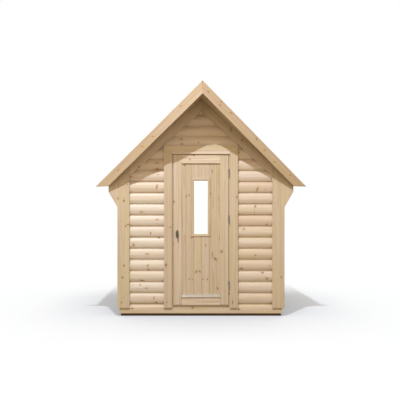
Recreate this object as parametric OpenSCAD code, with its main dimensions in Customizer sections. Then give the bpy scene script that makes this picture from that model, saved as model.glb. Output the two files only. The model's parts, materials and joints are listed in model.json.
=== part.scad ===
// Outdoor sauna: a small gabled timber cabin with log walls, a central door and
// a roof whose front edge runs out to a prow at the ridge.
// The front faces -Y, the ground is Z = 0 and the origin is the middle of the plan.

/* [Body] */
// Width over the log faces
body_w = 1960; // [1700:10:2600]
// Depth over the log faces
body_d = 1960; // [1700:10:3000]
// Thickness of a log at its crest
wall_t = 45; // [40:1:70]
// Height of one log course
log_pitch = 134; // [110:1:160]
// How far a log's face swells out from its joints
log_bulge = 16; // [6:1:22]
// Height of the rebate along the top of a log
log_rebate_h = 18; // [8:1:24]
// How far that rebate lies behind the joint
log_rebate_d = 13; // [4:1:14]

/* [Base] */
// Height of the ground bearers
bearer_h = 31; // [28:1:90]
// Width of a ground bearer
bearer_w = 70; // [50:1:120]
// How far the bearers stand back from the log faces
bearer_inset = 16; // [8:1:30]
// Number of ground bearers
bearer_count = 5; // [3:2:7]
// Height of the flat face of the sills
sill_h = 68; // [50:1:110]
// Height of the weathered bevel and rebate above that face
sill_bevel_h = 52; // [36:1:80]
// Thickness of the floor boards
floor_t = 45; // [20:1:60]

/* [Roof] */
// Slope of the roof in degrees
pitch = 42; // [32:0.5:46]
// How far the roof's underside at the log faces lies below the top of the door leaf
eave_drop = 224; // [150:2:400]
// Thickness of the ceiling boards
ceiling_t = 18; // [12:1:28]
// Height of the rafters
rafter_h = 32; // [20:1:90]
// Width of a rafter
rafter_w = 45; // [30:1:70]
// Distance between rafters
rafter_pitch = 460; // [350:10:700]
// Thickness of the roof boards
roof_board_t = 18; // [12:1:28]
// Width of a barge board
barge_w = 106; // [95:1:160]
// Thickness of a barge board
barge_t = 22; // [16:1:35]
// Level of the cut under the barge tails, below the roof's underside at the log faces
barge_tail_drop = 161; // [120:1:220]
// How far the front barge stands out from the corner boards at the ridge
prow_ridge = 450; // [250:5:600]
// How far it stands out from them at the eaves
prow_eave = 60; // [40:1:120]
// How far the back barge stands out from the corner boards
back_reach = 120; // [60:5:300]
// Thickness of an eave board
fascia_t = 20; // [15:1:30]
// How far the roof boards run past the eave boards
drip_lap = 4; // [0:1:25]

/* [Trim] */
// Thickness of corner boards, casings and rake boards
trim_t = 22; // [16:1:30]
// Width of a corner board
corner_w = 145; // [100:1:180]
// How far a corner board's bracket swells out under the eave
bracket_reach = 106; // [60:1:140]
// Lean of the bracket's edge from plumb, in degrees
bracket_lean = 30; // [20:1:40]
// Radius that blends the bracket into the board
bracket_foot_r = 60; // [40:5:260]
// Depth of the upright nose above the bracket
bracket_nose_h = 109; // [60:1:140]
// Width of a rake board under the roof
rake_w = 107; // [60:1:120]
// Chamfer along the lower edge of a rake board
rake_chamfer = 14; // [4:1:18]
// Width of an upright door casing
casing_w = 97; // [60:1:110]
// Height of the head casing
casing_head_h = 68; // [50:1:75]
// Gap left at the mitre of two boards
mitre_gap = 1; // [0.5:0.1:3]
// Clearance where a board or a wall meets the roof
fit_gap = 0.2; // [0.1:0.1:0.5]

/* [Door frame] */
// Thickness of the jambs
jamb_t = 30; // [22:1:45]
// Height of the frame's head
head_h = 37; // [25:1:50]
// How far the front of the head lies behind the face of the casings
head_setback = 2; // [1:1:20]
// How far the frame stands into the room past the logs
frame_lap = 10; // [0:1:30]
// How far the door stop stands out
stop_w = 12; // [8:1:20]
// Depth of the door stop
stop_d = 14; // [10:1:25]
// Strip of jamb left bare beside the casing
jamb_reveal = 10.5; // [9:0.5:16]
// How far the threshold stands back from the log faces
threshold_inset = 26; // [10:1:26]
// Height of the threshold
threshold_h = 30; // [15:1:40]

/* [Door] */
// Width of the door leaf
leaf_w = 665; // [560:5:720]
// Height of the door leaf
leaf_h = 1807; // [1700:1:1830]
// Thickness of the door leaf
leaf_t = 40; // [34:1:45]
// How far the leaf stands out from the log faces
leaf_proud = 4; // [0:1:8]
// Running gap round the leaf
leaf_gap = 5; // [5:0.5:8]
// Width of a stile
stile_w = 103; // [90:1:125]
// Height of the top rail
top_rail_h = 104; // [70:1:130]
// Height of the bottom rail
bottom_rail_h = 96; // [70:1:160]
// Thickness of the door's boards
panel_t = 18; // [14:1:24]
// How far the boards lie behind the stiles
panel_recess = 18; // [8:1:24]
// Width of one door board
board_w = 94; // [70:1:120]
// How far the joint nearest the door's middle lies to the right of it
board_shift = 8; // [-20:1:20]
// Depth of the groove between two boards
groove_d = 4; // [2:0.5:6]
// Height of the sloping drip rail
drip_h = 30; // [20:1:50]
// Height of the drip rail's blunt nose
drip_nose_h = 5; // [3:0.5:10]
// How far the drip rail's nose stands out from the stiles
drip_nose = 16; // [10:1:24]
// How far the drip rail laps over each stile
drip_side_lap = 11; // [5:1:20]

/* [Window] */
// Width of the glass in view
pane_w = 165; // [120:1:220]
// Height of the glass in view
pane_h = 643; // [400:1:800]
// Distance from the top of the leaf down to the glass in view
pane_top_gap = 309.5; // [200:0.5:420]
// Width of the bead round the glass
bead_w = 30; // [20:1:36]
// How far the outer bead stands out from the boards
bead_t = 12; // [6:1:20]
// Depth that the glass is let into the bead
pane_lap = 9; // [6:1:12]
// Thickness of the glass
glass_t = 6; // [4:1:10]

/* [Hardware] */
// Height of a hinge
hinge_h = 100; // [70:1:130]
// Radius of a hinge barrel
barrel_r = 6.5; // [5.5:0.1:7]
// Radius of a hinge pin
pin_r = 3; // [2:0.1:3.5]
// Clearance round a hinge pin
pin_clearance = 0.3; // [0.2:0.05:0.6]
// Clearance between a hinge's two knuckles
knuckle_gap = 0.5; // [0.3:0.1:1]
// How far a barrel stands off the face of the leaf
barrel_stand = 1.5; // [1:0.1:3]
// Width of the lug that seats a hinge
lug_w = 8; // [6:0.5:10]
// Thickness of the lug on the leaf
lug_t = 6; // [3:0.5:7]
// Height of the lowest hinge's middle above the foot of the leaf
hinge_low = 233; // [150:1:300]
// Distance of the highest hinge's middle from the top of the leaf
hinge_high = 226; // [150:1:300]
// Height of the middle hinge as a share of the leaf's height
hinge_mid_share = 0.568; // [0.45:0.002:0.6]
// Height of the pulls' middle above the foot of the leaf
pull_level = 853; // [700:1:1000]
// Distance of the pulls from the door's latch edge
pull_edge = 47; // [40:1:70]
// Length of a pull
pull_h = 92; // [70:1:140]
// Radius of a pull's grip
pull_r = 11; // [7:0.5:14]
// How far the grip's middle stands off the door
pull_reach = 40; // [30:1:60]
// Radius of a pull's posts
pull_post_r = 6; // [4:0.5:7]

/* [Hidden] */
$fn = 96;
half_w = body_w / 2;
half_d = body_d / 2;
wall_in_x = half_w - wall_t;
wall_in_y = half_d - wall_t;
face_w = half_w + trim_t;
face_d = half_d + trim_t;
shoulder_z = bearer_h + sill_h;
log_z = shoulder_z + sill_bevel_h;
leaf_z = shoulder_z + threshold_h + leaf_gap;
leaf_top_z = leaf_z + leaf_h;
eave_h = leaf_top_z - eave_drop;
slope = tan(pitch);
apex_z = eave_h + half_w * slope;
ceiling_lift = ceiling_t / cos(pitch);
rafter_lift = ceiling_lift + rafter_h / cos(pitch);
roof_lift = rafter_lift + roof_board_t / cos(pitch);
ridge_z = apex_z + roof_lift;
rake_drop = rake_w / cos(pitch);
log_face_h = log_pitch - log_rebate_h;
log_r = (pow(log_face_h / 2, 2) + pow(log_bulge, 2)) / (2 * log_bulge);
rebate_in = log_bulge + log_rebate_d;
course_count = ceil((apex_z - log_z) / log_pitch);

eave_x = face_w + bracket_reach;
deck_x = eave_x - fascia_t;
tail_z = eave_h - barge_tail_drop;
tail_tip_x = (ridge_z - tail_z) / slope;
tail_in_x = tail_tip_x - barge_w / sin(pitch);
prow_slant = (prow_ridge - prow_eave) / tail_in_x;
barge_run = barge_t * sqrt(1 + pow(prow_slant, 2));
back_y = face_d + back_reach;
rafter_count = ceil((2 * face_d + prow_ridge + back_reach) / rafter_pitch);

leaf_front_y = -half_d - leaf_proud;
leaf_back_y = leaf_front_y + leaf_t;
jamb_in_x = leaf_w / 2 + leaf_gap;
jamb_out_x = jamb_in_x + jamb_t;
head_z = leaf_top_z + leaf_gap;
frame_top_z = head_z + head_h;
stop_y = leaf_back_y + leaf_gap;
stop_x = jamb_in_x - stop_w;
frame_in_y = max(stop_y + stop_d, -wall_in_y + frame_lap);
casing_in_x = jamb_in_x + jamb_reveal;
head_front_x = casing_in_x - mitre_gap;
casing_out_x = casing_in_x + casing_w;

stile_in_x = leaf_w / 2 - stile_w;
panel_front_y = leaf_front_y + panel_recess;
panel_low_z = leaf_z + bottom_rail_h;
panel_top_z = leaf_top_z - top_rail_h;
board_count = ceil(stile_in_x / board_w);
hole_w = pane_w + 2 * pane_lap;
hole_h = pane_h + 2 * pane_lap;
pane_z = leaf_top_z - pane_top_gap - pane_h / 2;

hinge_x = (leaf_w / 2 + casing_in_x) / 2;
hinge_y = leaf_front_y - barrel_r - barrel_stand;
hinge_levels = [hinge_low, hinge_mid_share * leaf_h, leaf_h - hinge_high];
knuckle_h = (hinge_h - knuckle_gap) / 2;
pull_x = -leaf_w / 2 + pull_edge;
pull_z = leaf_z + pull_level;
eps = 1;

log_colour = "#ecd9b8";
board_colour = "#dcc096";
roof_colour = "#d8ba8e";
bearer_colour = "#4a3826";
glass_colour = "#f6f7f5";
metal_colour = "#83807a";

// Extrudes an outline drawn in X and Z from y0 to y1
module along_y(y0, y1) {
    translate([0, y1, 0]) rotate([90, 0, 0]) linear_extrude(y1 - y0) children();
}

// Extrudes an outline drawn in Y and Z from x0 to x1
module along_x(x0, x1) {
    translate([x0, 0, 0]) rotate([90, 0, 90]) linear_extrude(x1 - x0) children();
}

// Extrudes a plan from z0 to z1
module along_z(z0, z1) {
    translate([0, 0, z0]) linear_extrude(z1 - z0) children();
}

// Outline of everything under the roof's underside, in X and Z
module under_roof(drop = 0) {
    top_z = apex_z - fit_gap - drop;
    edge_z = top_z - eave_x * slope;
    polygon([[-eave_x, 0], [eave_x, 0], [eave_x, edge_z], [0, top_z], [-eave_x, edge_z]]);
}

// Section of the stacked logs of a wall whose crest lies at y = -reach
module log_section(reach) {
    for (i = [0 : course_count - 1]) {
        course_z = log_z + i * log_pitch;
        intersection() {
            translate([log_r - reach, course_z + log_face_h / 2]) circle(log_r);
            translate([-reach, course_z]) square([wall_t, log_face_h]);
        }
        translate([rebate_in - reach, course_z]) square([wall_t - rebate_in, log_pitch]);
    }
}

// Section of a sill: a flat face with a weathered bevel up to a rebate under the first log
module sill_section(reach) {
    polygon([
        [-reach, bearer_h], [-reach + wall_t, bearer_h], [-reach + wall_t, log_z],
        [-reach + rebate_in, log_z], [-reach + rebate_in, log_z - log_rebate_h],
        [-reach + log_bulge, log_z - log_rebate_h], [-reach, shoulder_z]
    ]);
}

module gable_logs(x0, x1) {
    intersection() {
        along_x(x0, x1) log_section(half_d);
        along_y(-half_d - eps, -wall_in_y + eps) under_roof();
    }
}

module side_logs() {
    intersection() {
        rotate([0, 0, -90]) along_x(-wall_in_y, wall_in_y) log_section(half_w);
        along_y(-half_d, half_d) under_roof();
    }
}

module ground_bearers() {
    reach_y = half_d - bearer_inset - bearer_w / 2;
    step = 2 * reach_y / (bearer_count - 1);
    color(bearer_colour)
        for (i = [0 : bearer_count - 1])
            translate([0, i * step - reach_y, bearer_h / 2])
                cube([body_w - 2 * bearer_inset, bearer_w, bearer_h], center = true);
}

module floor_boards() {
    color(board_colour)
        translate([-wall_in_x, -wall_in_y, bearer_h]) cube([2 * wall_in_x, 2 * wall_in_y, floor_t]);
}

module front_sill() {
    color(board_colour)
        difference() {
            along_x(-half_w, half_w) sill_section(half_d);
            translate([-jamb_out_x, -half_d - eps, shoulder_z])
                cube([2 * jamb_out_x, wall_t + 2 * eps, sill_bevel_h + eps]);
        }
}

module back_sill() {
    color(board_colour) rotate([0, 0, 180]) along_x(-half_w, half_w) sill_section(half_d);
}

module side_sills() {
    color(board_colour)
        for (turn = [-90, 90])
            rotate([0, 0, turn]) along_x(-wall_in_y, wall_in_y) sill_section(half_w);
}

module front_wall_left() {
    color(log_colour) gable_logs(-half_w, -jamb_out_x);
}

module front_wall_right() {
    color(log_colour) gable_logs(jamb_out_x, half_w);
}

module front_gable() {
    color(log_colour)
        intersection() {
            gable_logs(-jamb_out_x, jamb_out_x);
            translate([-half_w, -half_d - eps, frame_top_z]) cube([body_w, wall_t + 2 * eps, apex_z]);
        }
}

module back_wall() {
    color(log_colour) rotate([0, 0, 180]) gable_logs(-half_w, half_w);
}

module left_wall() {
    color(log_colour) side_logs();
}

module right_wall() {
    color(log_colour) mirror([1, 0, 0]) side_logs();
}

// Outline of the right-hand gable corner board: a straight board whose outer edge
// leans out over a blended foot to an upright nose under the eave
module corner_outline() {
    nose_z = apex_z - eave_x * slope - bracket_nose_h;
    foot_run = bracket_foot_r * (1 - cos(bracket_lean));
    lean_rise = (bracket_reach - foot_run) / tan(bracket_lean);
    foot_z = nose_z - lean_rise - bracket_foot_r * sin(bracket_lean);
    foot_step = bracket_lean / 7;
    intersection() {
        under_roof();
        polygon(concat(
            [[face_w - corner_w, shoulder_z], [face_w, shoulder_z]],
            [for (a = [0 : foot_step : bracket_lean])
                [face_w + bracket_foot_r * (1 - cos(a)), foot_z + bracket_foot_r * sin(a)]],
            [[eave_x, nose_z], [eave_x, apex_z], [face_w - corner_w, apex_z]]
        ));
    }
}

module gable_corner() {
    color(board_colour) along_y(-face_d, -half_d) corner_outline();
}

module front_corner_left() {
    mirror([1, 0, 0]) gable_corner();
}

module front_corner_right() {
    gable_corner();
}

module back_corner_boards() {
    for (turn = [0, 1])
        mirror([turn, 0, 0]) mirror([0, 1, 0]) gable_corner();
}

module side_corners() {
    color(board_colour)
        intersection() {
            along_y(-half_d, half_d) under_roof();
            for (turn = [0, 1])
                mirror([0, turn, 0])
                    translate([half_w, -half_d, shoulder_z]) cube([trim_t, corner_w, eave_h]);
        }
}

module left_corner_boards() {
    mirror([1, 0, 0]) side_corners();
}

module right_corner_boards() {
    side_corners();
}

// The right-hand rake board that covers the joint of wall and roof: a chamfered
// section run along the slope, cut plumb at the ridge and at the corner board
module rake() {
    in_x = mitre_gap / 2;
    out_x = face_w - corner_w;
    run = out_x / cos(pitch);
    color(board_colour)
        intersection() {
            translate([0, 0, apex_z - fit_gap])
                rotate([0, pitch, 0])
                    along_x(-rake_w, run + rake_w)
                        polygon([
                            [-face_d, 0], [-half_d, 0], [-half_d, -rake_w],
                            [-face_d + rake_chamfer, -rake_w], [-face_d, -rake_w + rake_chamfer]
                        ]);
            translate([in_x, -face_d - eps, 0]) cube([out_x - in_x, trim_t + 2 * eps, apex_z]);
        }
}

module front_rake_left() {
    mirror([1, 0, 0]) rake();
}

module front_rake_right() {
    rake();
}

module back_rakes() {
    for (turn = [0, 1])
        mirror([turn, 0, 0]) mirror([0, 1, 0]) rake();
}

module door_jambs() {
    color(board_colour)
        for (turn = [0, 1])
            mirror([turn, 0, 0])
                along_z(shoulder_z, head_z)
                    polygon([
                        [jamb_in_x, -half_d], [jamb_out_x, -half_d], [jamb_out_x, frame_in_y],
                        [stop_x, frame_in_y], [stop_x, stop_y], [jamb_in_x, stop_y]
                    ]);
}

module door_head() {
    color(board_colour) {
        translate([-jamb_out_x, -half_d, head_z]) cube([2 * jamb_out_x, frame_in_y + half_d, head_h]);
        translate([-head_front_x, -face_d + head_setback, head_z])
            cube([2 * head_front_x, trim_t - head_setback + eps, head_h - mitre_gap]);
        translate([-stop_x, stop_y, head_z - stop_w]) cube([2 * stop_x, frame_in_y - stop_y, stop_w + eps]);
    }
}

module threshold() {
    front_y = -half_d + threshold_inset;
    color(board_colour) {
        translate([-jamb_in_x, front_y, shoulder_z])
            cube([2 * jamb_in_x, stop_y - front_y, threshold_h]);
        translate([-stop_x, stop_y - eps, shoulder_z])
            cube([2 * stop_x, frame_in_y - stop_y + eps, threshold_h]);
        translate([-stop_x, stop_y, shoulder_z])
            cube([2 * stop_x, frame_in_y - stop_y, threshold_h + leaf_gap + stop_w]);
    }
}

// The right-hand upright casing, cut under the rake board where that reaches down to it
module casing() {
    color(board_colour)
        along_y(-face_d, -half_d)
            intersection() {
                under_roof(rake_drop);
                translate([casing_in_x, shoulder_z]) square([casing_w, frame_top_z - shoulder_z]);
            }
}

module casing_left() {
    mirror([1, 0, 0]) casing();
}

module casing_right() {
    casing();
}

module casing_head() {
    color(board_colour)
        along_y(-face_d, -half_d)
            intersection() {
                under_roof(rake_drop);
                translate([-casing_out_x, frame_top_z]) square([2 * casing_out_x, casing_head_h]);
            }
}

// Plan of the right half of the roof: its front edge slants along the back of the prow
module roof_plan(reach) {
    front_y = -face_d - prow_ridge + barge_run + fit_gap;
    polygon([
        [0, front_y], [reach, front_y + reach * prow_slant],
        [reach, back_y - barge_t], [0, back_y - barge_t]
    ]);
}

// One sloping layer of the right half of the roof, between two lifts above its underside
module roof_layer(low, high, reach) {
    intersection() {
        linear_extrude(ridge_z + eps) roof_plan(reach);
        along_y(-face_d - prow_ridge, back_y)
            polygon([
                [0, apex_z + low], [reach, apex_z + low - reach * slope],
                [reach, apex_z + high - reach * slope], [0, apex_z + high]
            ]);
    }
}

module ceiling_right() {
    color(roof_colour) roof_layer(0, ceiling_lift, deck_x);
}

module ceiling_left() {
    mirror([1, 0, 0]) ceiling_right();
}

module rafters_right() {
    color(roof_colour)
        intersection() {
            roof_layer(ceiling_lift, rafter_lift, deck_x);
            for (i = [0 : rafter_count - 1])
                translate([0, back_y - barge_t - rafter_w - i * rafter_pitch, 0])
                    cube([deck_x, rafter_w, ridge_z]);
        }
}

module rafters_left() {
    mirror([1, 0, 0]) rafters_right();
}

module roof_boards_right() {
    color(roof_colour) roof_layer(rafter_lift, roof_lift, eave_x + drip_lap);
}

module roof_boards_left() {
    mirror([1, 0, 0]) roof_boards_right();
}

// The boards that close the roof's eaves
module eave_boards() {
    color(board_colour)
        for (turn = [0, 1])
            mirror([turn, 0, 0])
                intersection() {
                    roof_layer(0, rafter_lift - fit_gap, eave_x);
                    translate([deck_x, -face_d - prow_ridge, 0])
                        cube([fascia_t, face_d + prow_ridge + back_y, ridge_z]);
                }
}

// Outline of the right-hand barge board, with its tail cut level
module barge_outline() {
    in_x = mitre_gap / 2;
    barge_drop = barge_w / cos(pitch);
    polygon([
        [in_x, ridge_z - in_x * slope], [in_x, ridge_z - barge_drop - in_x * slope],
        [tail_in_x, tail_z], [tail_tip_x, tail_z]
    ]);
}

// The right-hand front barge stands upright on the slanting front edge of the roof
module front_barge_right() {
    front_y = -face_d - prow_ridge;
    tip_y = front_y + tail_tip_x * prow_slant;
    color(roof_colour)
        intersection() {
            along_y(front_y - eps, face_d) barge_outline();
            linear_extrude(ridge_z + eps)
                polygon([
                    [0, front_y], [tail_tip_x, tip_y],
                    [tail_tip_x, tip_y + barge_run], [0, front_y + barge_run]
                ]);
        }
}

module front_barge_left() {
    mirror([1, 0, 0]) front_barge_right();
}

module back_barges() {
    color(roof_colour)
        for (turn = [0, 1])
            mirror([turn, 0, 0]) along_y(back_y - barge_t, back_y) barge_outline();
}

module door_stiles() {
    color(board_colour)
        for (turn = [0, 1])
            mirror([turn, 0, 0])
                translate([stile_in_x, leaf_front_y, leaf_z]) cube([stile_w, leaf_t, leaf_h]);
}

module door_rails() {
    color(board_colour) {
        translate([-stile_in_x, leaf_front_y, leaf_z]) cube([2 * stile_in_x, leaf_t, bottom_rail_h]);
        translate([-stile_in_x, leaf_front_y, panel_top_z]) cube([2 * stile_in_x, leaf_t, top_rail_h]);
    }
}

// The boarded middle of the door, with a groove at each joint and the window cut through
module door_boards() {
    color(board_colour)
        difference() {
            along_z(panel_low_z, panel_top_z) panel_section();
            translate([-hole_w / 2, panel_front_y - eps, pane_z - hole_h / 2])
                cube([hole_w, panel_t + 2 * eps, hole_h]);
        }
}

// Plan of the door boards: a strip with a V groove at each board's edge
module panel_section() {
    difference() {
        translate([-stile_in_x, panel_front_y]) square([2 * stile_in_x, panel_t]);
        for (i = [-board_count : board_count])
            if (abs(board_shift + i * board_w) < stile_in_x - groove_d)
                translate([board_shift + i * board_w, panel_front_y])
                    polygon([[-groove_d, -eps], [groove_d, -eps], [groove_d, 0], [0, groove_d], [-groove_d, 0]]);
    }
}

// The drip rail sheds water over the bottom rail, with its ends cut back to a slant
module door_drip_rail() {
    nose_y = leaf_front_y - drip_nose;
    foot_x = stile_in_x + drip_side_lap;
    color(board_colour)
        intersection() {
            along_x(-foot_x, foot_x)
                polygon([
                    [panel_front_y, panel_low_z], [panel_front_y, panel_low_z + drip_h],
                    [nose_y, panel_low_z + drip_nose_h], [nose_y, panel_low_z]
                ]);
            union() {
                along_y(nose_y, leaf_front_y)
                    polygon([
                        [-foot_x, panel_low_z], [foot_x, panel_low_z],
                        [foot_x - drip_h, panel_low_z + drip_h], [drip_h - foot_x, panel_low_z + drip_h]
                    ]);
                translate([-stile_in_x, leaf_front_y - eps, panel_low_z])
                    cube([2 * stile_in_x, panel_recess + eps, drip_h]);
            }
        }
}

// A flat ring of bead round the glass, from y0 to y1
module bead_ring(w, h, y0, y1) {
    along_y(y0, y1)
        translate([0, pane_z])
            difference() {
                square([w, h], center = true);
                square([pane_w, pane_h], center = true);
            }
}

// The planted bead outside, and the stop bead that holds the glass from inside
module window_beads() {
    color(board_colour) {
        bead_ring(pane_w + 2 * bead_w, pane_h + 2 * bead_w, panel_front_y - bead_t, panel_front_y);
        bead_ring(hole_w, hole_h, panel_front_y + glass_t, panel_front_y + panel_t);
    }
}

module window_glass() {
    color(glass_colour)
        translate([-hole_w / 2, panel_front_y, pane_z - hole_h / 2]) cube([hole_w, glass_t, hole_h]);
}

// Half section of a pull's grip: a bar with round ends
module grip_section(grip_h) {
    intersection() {
        union() {
            square([2 * pull_r, grip_h], center = true);
            for (end = [-1, 1])
                translate([0, end * grip_h / 2]) circle(pull_r);
        }
        translate([0, -pull_h]) square([pull_h, 2 * pull_h]);
    }
}

// A bow pull: a round-ended grip on two posts, its foot at y = 0 and standing out to -y
module pull() {
    grip_h = pull_h - 2 * pull_r;
    translate([0, -pull_reach, 0]) rotate_extrude() grip_section(grip_h);
    for (end = [-1, 1])
        translate([0, 0, end * (grip_h / 2 - 2 * pull_post_r)])
            rotate([90, 0, 0]) cylinder(r = pull_post_r, h = pull_reach);
}

module door_pulls() {
    color(metal_colour) {
        translate([pull_x, leaf_front_y, pull_z]) pull();
        translate([pull_x, leaf_back_y, pull_z]) mirror([0, 1, 0]) pull();
    }
}

// Lower knuckles on the jamb, each with its pin and the lug that seats it
module frame_hinges() {
    color(metal_colour)
        for (level = hinge_levels)
            translate([hinge_x, hinge_y, leaf_z + level - hinge_h / 2]) {
                cylinder(r = barrel_r, h = knuckle_h);
                cylinder(r = pin_r, h = hinge_h - barrel_r);
                translate([-lug_w / 4, 0, 0]) cube([lug_w, -half_d - hinge_y, knuckle_h]);
            }
}

// Upper knuckles on the leaf, bored for the pins
module door_hinges() {
    lug_reach = hinge_x - leaf_w / 2 + lug_w;
    color(metal_colour)
        for (level = hinge_levels)
            translate([hinge_x, hinge_y, leaf_z + level + knuckle_gap / 2])
                difference() {
                    union() {
                        cylinder(r = barrel_r, h = knuckle_h);
                        translate([-lug_reach, leaf_front_y - hinge_y - lug_t, 0])
                            cube([lug_reach, lug_t, knuckle_h]);
                    }
                    translate([0, 0, -eps])
                        cylinder(r = pin_r + pin_clearance, h = knuckle_h - barrel_r + 2 * eps);
                }
}

ground_bearers();
floor_boards();
front_sill();
back_sill();
side_sills();
front_wall_left();
front_wall_right();
front_gable();
back_wall();
left_wall();
right_wall();
front_corner_left();
front_corner_right();
back_corner_boards();
left_corner_boards();
right_corner_boards();
front_rake_left();
front_rake_right();
back_rakes();
door_jambs();
door_head();
threshold();
casing_left();
casing_right();
casing_head();
ceiling_left();
ceiling_right();
rafters_left();
rafters_right();
roof_boards_left();
roof_boards_right();
eave_boards();
front_barge_left();
front_barge_right();
back_barges();
frame_hinges();
door_stiles();
door_rails();
door_boards();
door_drip_rail();
window_beads();
window_glass();
door_pulls();
door_hinges();
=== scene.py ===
import json
import math
import random

import bmesh
import bpy
from mathutils import Matrix, Vector


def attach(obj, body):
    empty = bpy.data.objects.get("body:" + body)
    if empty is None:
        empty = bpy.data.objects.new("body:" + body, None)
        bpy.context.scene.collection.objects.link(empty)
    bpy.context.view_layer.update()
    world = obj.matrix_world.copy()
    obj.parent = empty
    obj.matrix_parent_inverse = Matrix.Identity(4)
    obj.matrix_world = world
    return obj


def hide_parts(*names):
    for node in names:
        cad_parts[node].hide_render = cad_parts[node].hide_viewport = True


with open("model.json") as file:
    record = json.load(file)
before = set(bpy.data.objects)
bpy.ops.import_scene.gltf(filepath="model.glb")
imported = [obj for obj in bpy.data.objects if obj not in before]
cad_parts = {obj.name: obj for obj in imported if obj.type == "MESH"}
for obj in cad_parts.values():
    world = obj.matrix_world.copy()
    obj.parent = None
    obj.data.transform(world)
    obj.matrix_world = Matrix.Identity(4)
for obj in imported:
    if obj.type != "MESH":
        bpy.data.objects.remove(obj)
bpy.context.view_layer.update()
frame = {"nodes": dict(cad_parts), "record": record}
scene = bpy.context.scene
# the material slot and the body of each node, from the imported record
slotOf = {row["node"]: row["material_slot"] for row in frame["record"]["subparts"]}
bodyOf = {node: body for body, nodes in frame["record"]["behaviour"]["bodies"].items() for node in nodes}
print("frame loaded:", len(frame["nodes"]), "nodes")


# colours are written as sRGB hex and turned to linear here
def linear(hexColour):
    parts = [int(hexColour[i:i + 2], 16) / 255 for i in (1, 3, 5)]
    return [c / 12.92 if c <= 0.04045 else ((c + 0.055) / 1.055) ** 2.4 for c in parts] + [1.0]


# a node with its settings, then its links, each from a socket or from a node's first output;
# a ramp is a list of (place, grey)
def addNode(tree, kind, settings, links=None):
    node = tree.nodes.new("ShaderNode" + kind)
    for key, value in settings.items():
        if key == "ramp":
            marks = node.color_ramp.elements
            while len(marks) < len(value):
                marks.new(0.5)
            for mark, (place, grey) in zip(marks, value):
                mark.position = place
                mark.color = (grey, grey, grey, 1)
        elif isinstance(key, str) and hasattr(node, key):
            setattr(node, key, value)
        else:
            node.inputs[key].default_value = value
    for key, source in (links or {}).items():
        tree.links.new(source.outputs[0] if hasattr(source, "outputs") else source, node.inputs[key])
    return node


def newMaterial(name):
    material = bpy.data.materials.new(name)
    material.use_nodes = True
    material.node_tree.nodes.clear()
    return material, material.node_tree


noiseLow, noiseHigh = 0.3, 0.7   # nearly all of a noise texture lies between these

# Planed spruce: pale, close-grained softwood with narrow late rings and brown knots.
# The pattern is solid wood on each board's own axes: x along the grain, y and z from the pith.
spruceGrain = {
    "stock": 40,           # metres of timber that the boards are cut from
    "pith": (0.03, 0.035, 0.085),   # most aside of a board's middle, and least and most away from it
    "ring": 0.0075,        # real rings are 2 to 4 mm; drawn coarser so that they show from six metres
    "ringShade": [(0.0, 0.12), (0.5, 0.3), (0.86, 1.0), (1.0, 0.12)],   # early wood to late wood
    "wander": 0.020,       # how far rings stray along a board
    "swell": 0.018,        # and how far they bend round a knot
    "knotCell": (0.46, 0.135),      # wood of this length and width has one place for a knot
    "knotScatter": 0.85,
    "knotSize": (0.0002, 0.0125),   # radius of the smallest and largest knot left to chance
    "knotLong": 1.25,      # those knots are a little longer along the grain
    "knotDepth": 0.083,    # a knot given one by one reaches this far into the wood
    "lumpCell": 0.022,     # length of one bump in a knot's edge
    "lumpy": 0.010,        # how far a knot is pushed out of round
    "stain": (1.5, 5),     # how many times wider and longer than its knot a stained streak is
    # length and width of one cell of each noise, its levels of detail and its roughness;
    # a real fibre is far finer than the one here, which is drawn so that it shows
    "noise": {"stray": (0.9, 0.14, 2, 0.45), "streak": (1.0, 0.026, 3, 0.55),
              "drift": (0.6, 0.075, 2, 0.5), "fibre": (0.2, 0.0042, 2, 0.6)},
    "heartFrom": 0.36,     # the streak noise turns from sapwood
    "heartTo": 0.66,       # to heartwood
    # round a knot: what each zone is measured from, where it is full and where it ends
    "zones": {"heart": ("knot", 0.6, 1.0), "rim": ("knot", 0.6, 1.35), "halo": ("knot", 0.6, 3.5),
              "stain": ("streak", 0.2, 1.2)},
    "haloDepth": 0.2,
    "hue": (0.486, 0.509),          # drifts between rose and straw along each board
    "vivid": (0.93, 1.07),
    "fibreTone": (0.94, 1.03),
    "ringGloss": 0.1,      # planing leaves the late rings a little glossier
    "proud": 0.0006,       # and proud by this much
    "fibreProud": 0.6,     # the fibres stand up by this share of it
    "relief": 0.35,
}


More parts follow.
